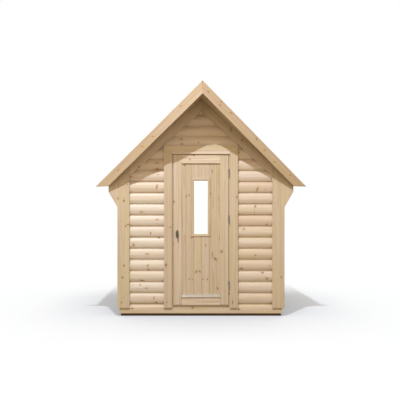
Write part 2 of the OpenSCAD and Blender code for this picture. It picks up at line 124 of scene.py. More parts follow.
# how far each point is from the nearest knot, and from the nearest stained streak, with 1 at the edge
def measureKnots(tree, grain, look):
    g = spruceGrain
    long, wide = g["knotCell"]
    place = addNode(tree, "TexCoord", {}).outputs["Object"]
    lump = addNode(tree, "TexNoise", {"Scale": 1 / g["lumpCell"], "Detail": 1}, {"Vector": place})
    push = addNode(tree, "VectorMath",
                   {"operation": "MULTIPLY_ADD", 1: [g["lumpy"]] * 3, 2: [-g["lumpy"] / 2] * 3},
                   {0: lump.outputs["Color"]})
    pushed = addNode(tree, "VectorMath", {"operation": "ADD"}, {0: place, 1: push})
    # knots left to chance
    pushedGrain = addNode(tree, "VectorMath", {"operation": "ADD"}, {0: grain, 1: push})
    cell = addNode(tree, "VectorMath", {"operation": "MULTIPLY", 1: (1 / long, 1 / wide, 0)},
                   {0: pushedGrain})
    spots = addNode(tree, "TexVoronoi",
                    {"voronoi_dimensions": "2D", "Scale": 1, "Randomness": g["knotScatter"]},
                    {"Vector": cell})
    away = addNode(tree, "VectorMath", {"operation": "SUBTRACT"}, {0: cell, 1: spots.outputs["Position"]})
    oval = addNode(tree, "VectorMath", {"operation": "MULTIPLY", 1: (long / g["knotLong"], wide, 0)},
                   {0: away})
    reach = addNode(tree, "VectorMath", {"operation": "LENGTH"}, {0: oval})
    lot = addNode(tree, "SeparateColor", {}, {0: spots.outputs["Color"]})
    size = addNode(tree, "MapRange",
                   {1: look["knotRare"], 2: 1.0, 3: g["knotSize"][0], 4: g["knotSize"][1]}, {0: lot})
    chance = addNode(tree, "Math", {"operation": "DIVIDE"}, {0: reach.outputs["Value"], 1: size})
    nearest = {"knot": chance, "streak": chance}
    # knots given one by one: a round one lies in a stained streak,
    # and one turned from the grain is cut along its length and has none
    for x, y, z, radius, stretch, turn in look["knots"]:
        ovals = {"knot": (radius, radius * stretch)}
        if not turn:
            ovals["streak"] = (radius * g["stain"][0], radius * g["stain"][1] * stretch)
        for measure, (across, along) in ovals.items():
            width, height = (along, across) if look["level"] else (across, along)
            inside = addNode(tree, "Mapping",
                             {"vector_type": "TEXTURE", "Location": (x, y, z),
                              "Rotation": (0, math.radians(turn), 0),
                              "Scale": (width, g["knotDepth"], height)}, {"Vector": pushed})
            reach = addNode(tree, "VectorMath", {"operation": "LENGTH"}, {0: inside})
            nearest[measure] = addNode(tree, "Math", {"operation": "MINIMUM"},
                                       {0: nearest[measure], 1: reach.outputs["Value"]})
    return nearest


# how late the wood is at each point: rings lie round the pith, stray along the board and swell round knots
def drawRings(tree, grain, stray, halo):
    g = spruceGrain
    swell = addNode(tree, "Math", {"operation": "MULTIPLY", 1: g["swell"]}, {0: halo})
    strayed = addNode(tree, "Math", {"operation": "MULTIPLY_ADD", 1: g["wander"]}, {0: stray, 2: swell})
    fromPith = addNode(tree, "VectorMath", {"operation": "MULTIPLY", 1: (0, 1, 1)}, {0: grain})
    radius = addNode(tree, "VectorMath", {"operation": "LENGTH"}, {0: fromPith})
    ringAt = addNode(tree, "Math", {"operation": "ADD"}, {0: radius.outputs["Value"], 1: strayed})
    ringCount = addNode(tree, "Math", {"operation": "DIVIDE", 1: g["ring"]}, {0: ringAt})
    ringPart = addNode(tree, "Math", {"operation": "FRACT"}, {0: ringCount})
    return addNode(tree, "ValToRGB", {"ramp": g["ringShade"]}, {0: ringPart})


def makeSpruce(name, look):
    g = spruceGrain
    material, tree = newMaterial(name)
    grain = addNode(tree, "Attribute", {"attribute_name": "grain"}).outputs["Vector"]
    board = addNode(tree, "Attribute", {"attribute_name": "tint"}).outputs["Fac"]
    noise = {}
    for pattern, (long, wide, detail, roughness) in g["noise"].items():
        cell = addNode(tree, "VectorMath", {"operation": "MULTIPLY", 1: (1 / long, 1 / wide, 1 / wide)},
                       {0: grain})
        noise[pattern] = addNode(tree, "TexNoise", {"Scale": 1, "Detail": detail, "Roughness": roughness},
                                 {"Vector": cell})
    nearest = measureKnots(tree, grain, look)
    zone = {}
    for part, (measure, full, end) in g["zones"].items():
        zone[part] = addNode(tree, "MapRange",
                             {"interpolation_type": "SMOOTHSTEP", 1: full, 2: end, 3: 1.0, 4: 0.0},
                             {0: nearest[measure]})
    late = drawRings(tree, grain, noise["stray"], zone["halo"])
    # sapwood and heartwood in long streaks, then the late rings and each board's own tone
    heart = addNode(tree, "MapRange", {1: g["heartFrom"], 2: g["heartTo"]}, {0: noise["streak"]})
    wood = addNode(tree, "Mix", {"data_type": "RGBA", 6: linear(look["sap"]), 7: linear(look["heart"])},
                   {0: heart}).outputs[2]
    for colour, depth, amount in (("late", "ringDepth", late), ("warm", "boardDepth", board)):
        share = addNode(tree, "Math", {"operation": "MULTIPLY", 1: look[depth]}, {0: amount})
        wood = addNode(tree, "Mix", {"data_type": "RGBA", 7: linear(look[colour])},
                       {0: share, 6: wood}).outputs[2]
    # the drift in hue, and the planed fibres
    tone = {}
    for change, pattern in (("hue", "drift"), ("vivid", "drift"), ("fibreTone", "fibre")):
        tone[change] = addNode(tree, "MapRange",
                               {1: noiseLow, 2: noiseHigh, 3: g[change][0], 4: g[change][1]},
                               {0: noise[pattern]})
    drifted = addNode(tree, "HueSaturation", {},
                      {"Hue": tone["hue"], "Saturation": tone["vivid"], "Color": wood})
    wood = addNode(tree, "Mix", {"data_type": "RGBA", "blend_type": "MULTIPLY", 0: 1.0},
                   {6: drifted, 7: tone["fibreTone"]}).outputs[2]
    # the stain near a knot follows the streaks; the knot's rim and heart lie over it
    stain = addNode(tree, "Math", {"operation": "MULTIPLY", 1: look["streak"]}, {0: zone["stain"]})
    streaked = addNode(tree, "Math", {"operation": "MULTIPLY"}, {0: stain, 1: noise["streak"]})
    halo = addNode(tree, "Math", {"operation": "MULTIPLY_ADD", 1: g["haloDepth"]},
                   {0: zone["halo"], 2: streaked})
    for colour, share in (("halo", halo), ("knotRim", zone["rim"]), ("knot", zone["heart"])):
        wood = addNode(tree, "Mix", {"data_type": "RGBA", 7: linear(look[colour])},
                       {0: share, 6: wood}).outputs[2]
    rough = addNode(tree, "MapRange", {3: look["rough"], 4: look["rough"] - g["ringGloss"]}, {0: late})
    height = addNode(tree, "Math", {"operation": "MULTIPLY_ADD", 1: g["fibreProud"]},
                     {0: noise["fibre"], 2: late})
    bump = addNode(tree, "Bump", {"Strength": g["relief"], "Distance": g["proud"]}, {"Height": height})
    shader = addNode(tree, "BsdfPrincipled", {"IOR": 1.47, "Specular IOR Level": look["sheen"]},
                     {"Base Color": wood, "Roughness": rough, "Normal": bump})
    addNode(tree, "OutputMaterial", {}, {0: shader})
    return material


# knots that show on the front: x, y, z, radius, how many times longer than wide,
# and degrees turned from the grain
logKnots = [
    (-0.53, -0.975, 1.84, 0.009, 1.3, 0), (-0.525, -0.975, 1.765, 0.014, 1.4, 0),
    (-0.515, -0.975, 1.705, 0.006, 1.2, 0), (-0.53, -0.975, 1.555, 0.009, 3.2, -82),
    (-0.715, -0.975, 1.25, 0.008, 1.4, 0), (-0.525, -0.975, 1.16, 0.008, 1.2, 0),
    (-0.605, -0.975, 0.995, 0.008, 2, 78), (-0.81, -0.975, 0.855, 0.01, 1.6, 88),
    (-0.645, -0.975, 0.745, 0.008, 1.3, 0), (-0.64, -0.975, 0.605, 0.008, 1.8, -50),
    (-0.63, -0.975, 0.555, 0.008, 2, 45), (-0.705, -0.975, 0.425, 0.008, 3.4, 8),
    (-0.655, -0.975, 0.335, 0.007, 1.4, 0), (-0.565, -0.975, 0.215, 0.009, 1.6, 80),
    (-0.535, -0.975, 0.155, 0.011, 2, 42), (0.68, -0.975, 1.525, 0.011, 2.4, -72),
    (0.655, -0.975, 1.32, 0.011, 1.8, -66), (0.645, -0.975, 1.25, 0.002, 14, 88),
    (0.795, -0.975, 1.1, 0.009, 1.5, 90), (0.49, -0.975, 0.57, 0.009, 2.2, 4),
    (0.795, -0.975, 0.45, 0.011, 1.6, 45), (-0.235, -0.975, 2.13, 0.008, 1.3, 0),
    (-0.23, -0.975, 2.07, 0.008, 1.3, 0), (0.195, -0.975, 2.415, 0.008, 1.3, 0),
    (0.265, -0.975, 2.24, 0.009, 1.3, 0), (-0.845, -0.975, 1.675, 0.01, 1.2, 0)]
trimKnots = [
    (-0.995, -1.0, 1.415, 0.0075, 1.2, 0), (-0.925, -1.0, 1.385, 0.008, 1.3, 0),
    (-0.875, -1.0, 1.1, 0.008, 1.8, 85), (-0.845, -1.0, 1.62, 0.007, 1.2, 0),
    (-0.94, -1.0, 0.465, 0.008, 1.5, -20), (0.43, -1.0, 1.43, 0.008, 1.3, 0),
    (-0.365, -1.0, 1.07, 0.006, 2.2, 60), (-0.1, -1.0, 0.095, 0.008, 1.4, 90),
    (0.46, -1.0, 0.08, 0.008, 1.5, 90), (0.36, -1.0, 2.235, 0.009, 1.2, 0),
    (0.49, -1.0, 2.11, 0.01, 1.2, 0), (-0.83, -1.0, 0.09, 0.008, 1.6, 90),
    (-0.42, -1.0, 0.615, 0.01, 1.3, 0), (0.965, -1.0, 0.47, 0.006, 2.2, 5),
    (0.38, -1.0, 0.165, 0.005, 5, 0), (-0.955, -1.0, 0.165, 0.007, 1.3, 30),
    (-0.41, -1.0, 0.17, 0.005, 1.6, 40)]
doorKnots = [
    (0.135, -0.975, 1.74, 0.007, 1.5, 0), (-0.175, -0.975, 1.44, 0.006, 1.8, 25),
    (-0.14, -0.975, 1.455, 0.005, 1.8, 10), (0.175, -0.975, 0.685, 0.01, 2.2, -45),
    (0.14, -0.975, 0.74, 0.005, 3, 0), (-0.055, -0.975, 0.53, 0.008, 2, 40),
    (-0.015, -0.975, 0.535, 0.007, 2, -40), (-0.14, -0.975, 0.44, 0.006, 1.3, 0),
    (-0.105, -0.975, 0.44, 0.005, 1.3, 0), (0.025, -0.975, 0.44, 0.006, 1.6, 75),
    (0.08, -0.975, 0.44, 0.005, 1.4, 0), (0.2, -0.975, 0.33, 0.008, 1.6, -30),
    (-0.11, -0.975, 0.945, 0.006, 2.4, 85), (0.06, -0.975, 0.85, 0.006, 1.3, 0),
    (0.21, -0.975, 1.41, 0.002, 14, 0), (0.225, -0.975, 0.94, 0.002, 12, 0)]
bargeKnots = [
    (0.065, -1.429, 2.57, 0.0065, 1.2, 0), (0.215, -1.376, 2.475, 0.0065, 1.2, 0),
    (0.2, -1.381, 2.435, 0.006, 1.2, 0), (0.325, -1.337, 2.36, 0.006, 1.2, 0),
    (0.73, -1.194, 1.96, 0.006, 1.2, 0), (0.85, -1.15, 1.83, 0.006, 1.2, 0),
    (-0.565, -1.252, 2.11, 0.0065, 1.2, 0), (-0.69, -1.208, 2, 0.0065, 1.2, 0),
    (-0.24, -1.367, 2.43, 0.006, 1.2, 0), (-0.98, -1.105, 1.74, 0.006, 1.2, 0),
    (1.05, -1.081, 1.685, 0.006, 1.2, 0)]

# each look: colours from sapwood to knot, how much rings and boards differ, how rare a knot left
# to chance is, roughness and sheen, whether the grain lies level, and how dark a knot's streak is

# fresh-milled logs are the palest; their round faces catch the light along the top
logLook = {
    "sap": "#e8e1d3", "heart": "#dbcfba", "late": "#bd9f77", "warm": "#c5a474",
    "halo": "#c09a70", "knot": "#a6875f", "knotRim": "#94754f",
    "ringDepth": 0.36, "boardDepth": 0.5, "knotRare": 0.45, "rough": 0.5, "sheen": 0.46,
    "level": True, "streak": 0.9, "knots": logKnots,
}
# planed trim boards have more heartwood and look golden beside the logs
trimLook = {
    "sap": "#e2d0b4", "heart": "#d0bc9a", "late": "#ae926c", "warm": "#aa9b7b",
    "halo": "#b08858", "knot": "#90633a", "knotRim": "#74502e",
    "ringDepth": 0.4, "boardDepth": 0.5, "knotRare": 0.4, "rough": 0.58, "sheen": 0.55,
    "level": False, "streak": 0.7, "knots": trimKnots,
}
# the door's joinery is sanded, so it is paler, a little pinker and more matt
doorLook = {
    "sap": "#ecddc8", "heart": "#dbcaaf", "late": "#b29771", "warm": "#9d8757",
    "halo": "#b58c62", "knot": "#966a48", "knotRim": "#7a5232",
    "ringDepth": 0.55, "boardDepth": 0.5, "knotRare": 0.45, "rough": 0.6, "sheen": 0.55,
    "level": False, "streak": 0.9, "knots": doorKnots,
}
# roof and barge boards: the same timber, planed less finely, so a little darker and duller
roofLook = {
    "sap": "#d2c3a7", "heart": "#c5ae8d", "late": "#a38255", "warm": "#ae9268",
    "halo": "#b08352", "knot": "#99683c", "knotRim": "#7c5230",
    "ringDepth": 0.4, "boardDepth": 0.4, "knotRare": 0.4, "rough": 0.6, "sheen": 0.5,
    "level": True, "streak": 0.8, "knots": bargeKnots,
}
# pressure-treated bearers: dark brown, dull, the grain only just showing
bearerLook = {
    "sap": "#685139", "heart": "#5c472f", "late": "#3c2b1a", "warm": "#4d3822",
    "halo": "#2e2012", "knot": "#22170e", "knotRim": "#1b120b",
    "ringDepth": 0.4, "boardDepth": 0.4, "knotRare": 0.6, "rough": 0.75, "sheen": 0.25,
    "level": True, "streak": 0, "knots": [],
}
woodOf = {
    "spruce_logs": makeSpruce("spruce_round_milled", logLook),
    "spruce_trim": makeSpruce("spruce_planed_trim", trimLook),
    "spruce_door": makeSpruce("spruce_sanded_joinery", doorLook),
    "spruce_roof": makeSpruce("spruce_planed_roof", roofLook),
    "treated_bearers": makeSpruce("softwood_pressure_treated", bearerLook),
}


# satin safety glass: acid-etched, so it is milky white with a soft sheen and nothing shows through
glassLook = {
    "white": "#f4fbff", "shade": "#eef6fb", "rough": (0.28, 0.4),
    "cloud": 0.09,   # size of one patch of the etching
    "glow": 0.08,    # painted light: a little emission makes the pane glow white by itself, though no lamp is behind it
}


def makeSatinGlass():
    look = glassLook
    material, tree = newMaterial("glass_acid_etched")
    place = addNode(tree, "TexCoord", {}).outputs["Object"]
    cloud = addNode(tree, "TexNoise", {"Scale": 1 / look["cloud"], "Detail": 2}, {"Vector": place})
    etched = addNode(tree, "Mix", {"data_type": "RGBA", 6: linear(look["white"]), 7: linear(look["shade"])},
                     {0: cloud})
    rough = addNode(tree, "MapRange", {1: noiseLow, 2: noiseHigh, 3: look["rough"][0], 4: look["rough"][1]},
                    {0: cloud})
    # painted light: the emission lets the pane glow by itself
    shader = addNode(tree, "BsdfPrincipled",
                     {"IOR": 1.52, "Emission Color": (1, 1, 1, 1), "Emission Strength": look["glow"]},
                     {"Base Color": etched.outputs[2], "Roughness": rough})
    addNode(tree, "OutputMaterial", {}, {0: shader})
    return material


# metals: fine lines left by rolling or drawing, drawn coarser than real ones, on a blotchy dulled skin
metalSkin = {"blotch": 0.017, "relief": 0.2, "lineDeep": 0.0002}
# zinc-plated steel is a warm middle grey with a soft shine
steelLook = {"bright": "#a39b8b", "dull": "#7f7868", "rough": (0.34, 0.5),
             "line": 0.0025, "along": (1, 1, 0.05)}
# browned steel is dark and warm, with its shine spread wider
brownedLook = {"bright": "#777060", "dull": "#4a4433", "rough": (0.4, 0.55),
               "line": 0.0025, "along": (1, 1, 0.05)}
# extruded aluminium is pale, with lines along its length
aluminiumLook = {"bright": "#d1c9bc", "dull": "#b8ae9f", "rough": (0.38, 0.55),
                 "line": 0.004, "along": (0.03, 1, 1)}


def makeMetal(name, look):
    material, tree = newMaterial(name)
    place = addNode(tree, "TexCoord", {}).outputs["Object"]
    perLine = [a / look["line"] for a in look["along"]]
    drawn = addNode(tree, "VectorMath", {"operation": "MULTIPLY", 1: perLine}, {0: place})
    lines = addNode(tree, "TexNoise", {"Scale": 1, "Detail": 2}, {"Vector": drawn})
    blotch = addNode(tree, "TexNoise", {"Scale": 1 / metalSkin["blotch"], "Detail": 3}, {"Vector": place})
    skin = addNode(tree, "Mix", {"data_type": "RGBA", 6: linear(look["bright"]), 7: linear(look["dull"])},
                   {0: blotch})
    rough = addNode(tree, "MapRange", {1: noiseLow, 2: noiseHigh, 3: look["rough"][0], 4: look["rough"][1]},
                    {0: lines})
    bump = addNode(tree, "Bump", {"Strength": metalSkin["relief"], "Distance": metalSkin["lineDeep"]},
                   {"Height": lines})
    shader = addNode(tree, "BsdfPrincipled", {"Metallic": 1.0},
                     {"Base Color": skin.outputs[2], "Roughness": rough, "Normal": bump})
    addNode(tree, "OutputMaterial", {}, {0: shader})
    return material


satinGlass = makeSatinGlass()
greySteel = makeMetal("steel_zinc_plated", steelLook)
millAluminium = makeMetal("aluminium_extruded", aluminiumLook)
brownedSteel = makeMetal("steel_browned", brownedLook)
print("materials made:", len(bpy.data.materials))


# a mesh of wood carries its grain and each board's tone
def newWood():
    bm = bmesh.new()
    bm.verts.layers.float_vector.new("grain")
    bm.verts.layers.float.new("tint")
    return bm


# gives verts their place in the wood: along the grain, and across it from the pith
def setGrain(bm, verts, along, face, draw, tones, pith=spruceGrain["pith"]):
    grain, tint = bm.verts.layers.float_vector["grain"], bm.verts.layers.float["tint"]
    across = along.cross(face)
    middle = sum((v.co for v in verts), Vector()) / len(verts)
    aside, least, most = pith
    start = draw.uniform(0, spruceGrain["stock"])
    shift = Vector((start, draw.uniform(-aside, aside), draw.uniform(least, most)))
    tone = draw.uniform(*tones)
    for v in verts:
        p = v.co - middle
        v[grain] = Vector((p.dot(along), p.dot(across), p.dot(face))) + shift
        v[tint] = tone


# groups of verts that hang together: one for each board, always in the same order
def boardsIn(bm):
    for layer in (bm.verts, bm.edges, bm.faces):
        layer.index_update()
    found, groups = set(), []
    for first in bm.verts:
        if first in found:
            continue
        found.add(first)
        group, edge = [first], [first]
        while edge:
            v = edge.pop()
            for e in v.link_edges:
                other = e.other_vert(v)
                if other not in found:
                    found.add(other)
                    group.append(other)
                    edge.append(other)
        groups.append(sorted(group, key=lambda v: v.index))
    return groups


# cuts everything off on the side that the normal points to, and closes the cut
def saw(bm, point, normal):
    cut = bmesh.ops.bisect_plane(bm, geom=bm.verts[:] + bm.edges[:] + bm.faces[:], dist=1e-6,
                                 plane_co=point, plane_no=normal, clear_outer=True)
    rim = [g for g in cut["geom_cut"] if isinstance(g, bmesh.types.BMEdge) and g.is_valid and g.is_boundary]
    if rim:
        bmesh.ops.edgeloop_fill(bm, edges=rim)


# rounds every edge that turns by more than the given degrees
def softenEdges(bm, width, turning=25):
    edges = [e for e in bm.edges if len(e.link_faces) == 2 and e.calc_face_angle(0) > math.radians(turning)]
    bmesh.ops.bevel(bm, geom=edges, offset=width, offset_type="OFFSET", affect="EDGES", segments=2,
                    profile=0.5, material=-1, clamp_overlap=True)


# a bar of wood: an outline of (y, z) pulled along x
def pullBar(start, end, outline):
    bar = newWood()
    face = bar.faces.new([bar.verts.new((start, y, z)) for y, z in outline])
    pulled = bmesh.ops.extrude_face_region(bar, geom=[face])
    moved = [g for g in pulled["geom"] if isinstance(g, bmesh.types.BMVert)]
    bmesh.ops.translate(bar, vec=(end - start, 0, 0), verts=moved)
    bmesh.ops.recalc_face_normals(bar, faces=bar.faces[:])
    return bar


# adds a board or a log to the rest of its piece
def addTo(bm, part):
    mesh = bpy.data.meshes.new("part")
    part.to_mesh(mesh)
    part.free()
    bm.from_mesh(mesh)
    bpy.data.meshes.remove(mesh)


crease = math.radians(15)   # edges that turn by less are shaded smooth


# body comes from the first node that a piece stands for, or from the node that it sits on
def finishPiece(bm, name, material, *stoodFor, sitsOn=None):
    for f in bm.faces:
        f.smooth = True
    for e in bm.edges:
        e.smooth = e.calc_face_angle(math.pi) < crease
    mesh = bpy.data.meshes.new(name)
    bm.to_mesh(mesh)
    bm.free()
    mesh.materials.append(material)
    piece = bpy.data.objects.new(name, mesh)
    scene.collection.objects.link(piece)
    likeNode = sitsOn or stoodFor[0]
    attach(piece, bodyOf[likeNode])
    if stoodFor:
        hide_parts(*stoodFor)


# a clean solid from a CAD node's loose triangles
def copyNode(nodeName):
    bm = newWood()
    bm.from_mesh(frame["nodes"][nodeName].data)
    bmesh.ops.remove_doubles(bm, verts=bm.verts[:], dist=1e-5)
    bmesh.ops.dissolve_limit(bm, angle_limit=math.radians(0.4), verts=bm.verts[:], edges=bm.edges[:])
    return bm


def pieceName(nodeName):
    words = nodeName.split("_")
    return words[0] + "".join(word.capitalize() for word in words[1:])


# round logs, one by one, in courses that run through over the door
logWalls = {
    "firstCourse": 0.151, "pitch": 0.134, "courses": 19, "sideCourses": 12,
    "crest": 0.980, "thick": 0.045, "bulge": 0.016, "arcSteps": 16,
    "rebateHigh": 0.018, "rebateDeep": 0.013,   # the rebate lies along each log's top
    "eased": 0.003, "easedBend": (0.2, 0.3),    # where the round of an edge passes, in shares of it
    "roomChamfer": 0.003, "sideEnd": 0.935,
    "doorHalf": 0.3675, "doorTop": 1.983, "roofGap": 0.0002,
    "pith": (0.03, 0.03, 0.06),
    "paintedSheenTones": (0.0, 0.5), "midTones": (0.3, 0.8), "warmTones": (0.35, 1.0),   # mid and warm logs of different batches; the pale range is painted light, paler logs standing in for the sheen where the key light falls
    "paintedSheenTop": 1.6,   # painted light: left of the door the logs are paler up to this height, the edge of the roof's shadow, and warm in the shade above it
}
roofShape = {
    "slope": math.radians(42),
    "apex": 2.59940,          # height of the ceiling's underside at the ridge
    "eave": 1.717,            # and over the crests of the side walls
    "frontRidge": -1.42846,   # y of the prow
    "slant": 0.35390,         # how far the front edge falls back for each metre from the ridge
    "back": 1.100,
    "boardWidth": 0.0955, "joint": 0.0016, "chamfer": 0.0035, "ridgeGap": 0.0004,
    "tones": (0.0, 0.4),
}
# ceiling boards run down the slope and roof boards along the ridge; heights are over the ceiling's underside
roofLayers = {
    "Ceiling": {"node": "ceiling_", "low": 0, "high": 0.018, "reach": 1.088, "downSlope": True, "seed": 20},
    "RoofBoards": {"node": "roof_boards_", "low": 0.050, "high": 0.068, "reach": 1.112, "downSlope": False,
                   "seed": 24},
}


def layLog(start, end, lowZ, draw, cuts, tones):
    w = logWalls
    high, bulge, eased = w["pitch"] - w["rebateHigh"], w["bulge"], w["eased"]
    arc = ((high / 2) ** 2 + bulge ** 2) / (2 * bulge)
    step = (high - 2 * eased) / w["arcSteps"]
    heights = [eased + step * i for i in range(w["arcSteps"] + 1)]
    room = [(w["thick"], w["roomChamfer"]), (w["thick"] - w["roomChamfer"], 0)]
    lip = [(bulge + eased, 0), (bulge + eased * w["easedBend"][0], eased * w["easedBend"][1])]
    outline = room + lip
    outline += [(arc - math.sqrt(arc ** 2 - (z - high / 2) ** 2), z) for z in heights]
    outline += [(depth, high - z) for depth, z in reversed(lip)]
    outline += [(bulge + w["rebateDeep"], high), (bulge + w["rebateDeep"], w["pitch"])]
    outline += [(depth, w["pitch"] - z) for depth, z in reversed(room)]
    log = pullBar(start, end, [(depth - w["crest"], lowZ + z) for depth, z in outline])
    for point, normal in cuts:
        saw(log, point, normal)
    if log.verts:
        setGrain(log, log.verts[:], Vector((1, 0, 0)), Vector((0, 1, 0)), draw, tones, w["pith"])
    return log


def raiseWall(name, seed, turn, *nodeNames, gable=False, door=False):
    w, r = logWalls, roofShape
    draw = random.Random(seed)
    sine, cosine = math.sin(r["slope"]), math.cos(r["slope"])
    if gable:
        top = (0, 0, r["apex"] - w["roofGap"])
        cuts, end = [(top, (sine, 0, cosine)), (top, (-sine, 0, cosine))], w["crest"]
    else:
        cuts, end = [((0, -w["crest"], r["eave"] - w["roofGap"]), (0, -sine, cosine))], w["sideEnd"]
    overDoor = cuts + [((0, 0, w["doorTop"]), (0, 0, -1))]
    wall = newWood()
    for course in range(w["courses"] if gable else w["sideCourses"]):
        lowZ = w["firstCourse"] + course * w["pitch"]
        spans = [(-end, end, cuts, w["midTones"])]
        if door and lowZ < w["doorTop"]:
            # painted light and shade: left of the door, logs below the roof's shadow are paler and those in
            # its shade warm
            leftTones = w["paintedSheenTones"] if lowZ < w["paintedSheenTop"] else w["warmTones"]
            spans = [(-end, -w["doorHalf"], cuts, leftTones), (w["doorHalf"], end, cuts, w["warmTones"])]
            if lowZ + w["pitch"] > w["doorTop"]:
                spans.append((-w["doorHalf"], w["doorHalf"], overDoor, w["midTones"]))
        for start, stop, planes, tones in spans:
            addTo(wall, layLog(start, stop, lowZ, draw, planes, tones))
    bmesh.ops.rotate(wall, cent=(0, 0, 0), matrix=Matrix.Rotation(turn, 3, "Z"), verts=wall.verts[:])
    finishPiece(wall, name, woodOf["spruce_logs"], *nodeNames)


raiseWall("frontLogs", 11, 0, "front_wall_left", "front_wall_right", "front_gable", gable=True, door=True)
raiseWall("backLogs", 12, math.pi, "back_wall", gable=True)
raiseWall("leftLogs", 13, -math.pi / 2, "left_wall")
raiseWall("rightLogs", 14, math.pi / 2, "right_wall")
print("log walls raised")


# boards side by side, along the ridge or down the slope, sawn to the slanting front
def layRoof(layerName, hand, side):
    r, layer = roofShape, roofLayers[layerName]
    low, high, reach, downSlope = layer["low"], layer["high"], layer["reach"], layer["downSlope"]
    draw = random.Random(layer["seed"] + side)
    turn = Matrix.Rotation(r["slope"], 3, "Y")
    deep, run = r["back"] - r["frontRidge"], reach / math.cos(r["slope"]) + 2 * r["boardWidth"]
    wide = r["boardWidth"] - r["joint"]
    size = (run, wide, high - low) if downSlope else (wide, deep, high - low)
    grain = Vector((1, 0, 0)) if downSlope else Vector((0, 1, 0))
    roof = newWood()
    for i in range(math.ceil((deep if downSlope else run) / r["boardWidth"])):
        board = newWood()
        bmesh.ops.create_cube(board, size=1)
        bmesh.ops.scale(board, vec=size, verts=board.verts[:])
        seen = [e for e in board.edges if abs((e.verts[0].co - e.verts[1].co).dot(grain)) > r["boardWidth"]
                and (e.verts[0].co.z < 0) == downSlope]
        bmesh.ops.bevel(board, geom=seen, offset=r["chamfer"], affect="EDGES", segments=1, profile=0.5,
                        material=-1)
        if downSlope:
            middle = (run / 2 - r["boardWidth"], r["back"] - (i + 0.5) * r["boardWidth"], (low + high) / 2)
        else:
            middle = ((i - 0.5) * r["boardWidth"], (r["back"] + r["frontRidge"]) / 2, (low + high) / 2)
        bmesh.ops.translate(board, vec=middle, verts=board.verts[:])
        bmesh.ops.rotate(board, cent=(0, 0, 0), matrix=turn, verts=board.verts[:])
        bmesh.ops.translate(board, vec=(0, 0, r["apex"]), verts=board.verts[:])
        saw(board, (r["ridgeGap"], 0, 0), (-1, 0, 0))
        saw(board, (reach, 0, 0), (1, 0, 0))
        saw(board, (0, r["frontRidge"], 0), Vector((r["slant"], -1, 0)).normalized())
        if board.verts:
            setGrain(board, board.verts[:], turn @ grain, turn @ Vector((0, 0, 1)), draw, r["tones"])
        addTo(roof, board)
    if side < 0:
        bmesh.ops.scale(roof, vec=(-1, 1, 1), verts=roof.verts[:])
        bmesh.ops.reverse_faces(roof, faces=roof.faces[:])
    finishPiece(roof, hand + layerName, woodOf["spruce_roof"], layer["node"] + hand)


for side, hand in ((1, "right"), (-1, "left")):
    for layerName in roofLayers:
        layRoof(layerName, hand, side)
print("roof boarded")


# trim, frame and joinery boards: the CAD's own solids with eased edges and their own grain
usual, paler = (0.5, 0.85), (0.0, 0.2)
boardSets = [
    # node, eased edge, and the palest and warmest tone where not the usual
    ("ground_bearers", 0.003),
    ("front_sill", 0.002, paler), ("back_sill", 0.002, paler), ("side_sills", 0.002, paler),
    ("front_corner_left", 0.0025), ("front_corner_right", 0.0025), ("back_corner_boards", 0.0025),
    ("left_corner_boards", 0.0025), ("right_corner_boards", 0.0025),
    # painted light and shade: the front rakes and the left front barge get tones by side, the left rake paler
    # and the right rake and left barge darker, to match how the light falls on them
    ("front_rake_left", 0.002, (0.1, 0.3)), ("front_rake_right", 0.002, (0.7, 0.9)), ("back_rakes", 0.002),
    ("door_jambs", 0.0015), ("door_head", 0.0015, paler), ("threshold", 0.002),
    ("casing_left", 0.0025), ("casing_right", 0.0025), ("casing_head", 0.0025, (0.3, 0.5)),
    ("rafters_left", 0.002), ("rafters_right", 0.002), ("eave_boards", 0.002), ("back_barges", 0.002),
    ("front_barge_left", 0.002, (0.8, 1.0)), ("front_barge_right", 0.002),
    ("door_stiles", 0.0025, (0.45, 0.6)), ("door_rails", 0.0025, (0.1, 0.25)),
]


def dressBoards(seed, nodeName, eased, tones=usual):
    bm = copyNode(nodeName)
    softenEdges(bm, eased)
    draw = random.Random(seed)
    for verts in boardsIn(bm):
        faces = sorted({f for v in verts for f in v.link_faces}, key=lambda f: f.index)
        edges = sorted({e for v in verts for e in v.link_edges}, key=lambda e: e.index)
        longest = max(edges, key=lambda e: e.calc_length())
        along = (longest.verts[1].co - longest.verts[0].co).normalized()
        widest = max(faces, key=lambda f: f.calc_area())
        setGrain(bm, verts, along, widest.normal.copy(), draw, tones)
    finishPiece(bm, pieceName(nodeName), woodOf[slotOf[nodeName]], nodeName)


for seed, row in enumerate(boardSets, start=40):
    dressBoards(seed, *row)
print("trim and joinery dressed:", len(boardSets))


# floor boards and the door's boards are sawn out of the CAD's slabs
slabs = {
    "floor_boards": {"width": 0.1335, "shift": 0.0, "half": 0.935, "gap": 0.0012, "eased": 0.002,
                     "face": (0, 0, 1), "along": (0, 1, 0), "tones": usual, "seed": 80},
    "door_boards": {"width": 0.094, "shift": 0.008, "half": 0.2295, "gap": 0.0, "eased": 0.0,
                    "face": (0, -1, 0), "along": (0, 0, 1), "tones": (0.65, 0.85), "seed": 81},
}
sliver = 0.004   # no board at a side is narrower than this


def sawSlab(nodeName):
    s = slabs[nodeName]
    draw = random.Random(s["seed"])
    most = math.ceil(s["half"] / s["width"]) + 1
    joints = [s["shift"] + i * s["width"] for i in range(-most, most + 1)]
    joints = [-s["half"]] + [j for j in joints if abs(j) < s["half"] - sliver] + [s["half"]]
    whole = newWood()
    for start, stop in zip(joints, joints[1:]):
        board = copyNode(nodeName)
        if start > -s["half"]:
            saw(board, (start + s["gap"] / 2, 0, 0), (-1, 0, 0))
        if stop < s["half"]:
            saw(board, (stop - s["gap"] / 2, 0, 0), (1, 0, 0))
        if s["eased"]:
            softenEdges(board, s["eased"])
        setGrain(board, board.verts[:], Vector(s["along"]), Vector(s["face"]), draw, s["tones"])
        addTo(whole, board)
    finishPiece(whole, pieceName(nodeName), woodOf[slotOf[nodeName]], nodeName)


for nodeName in slabs:
    sawSlab(nodeName)
print("floor and door boarded")


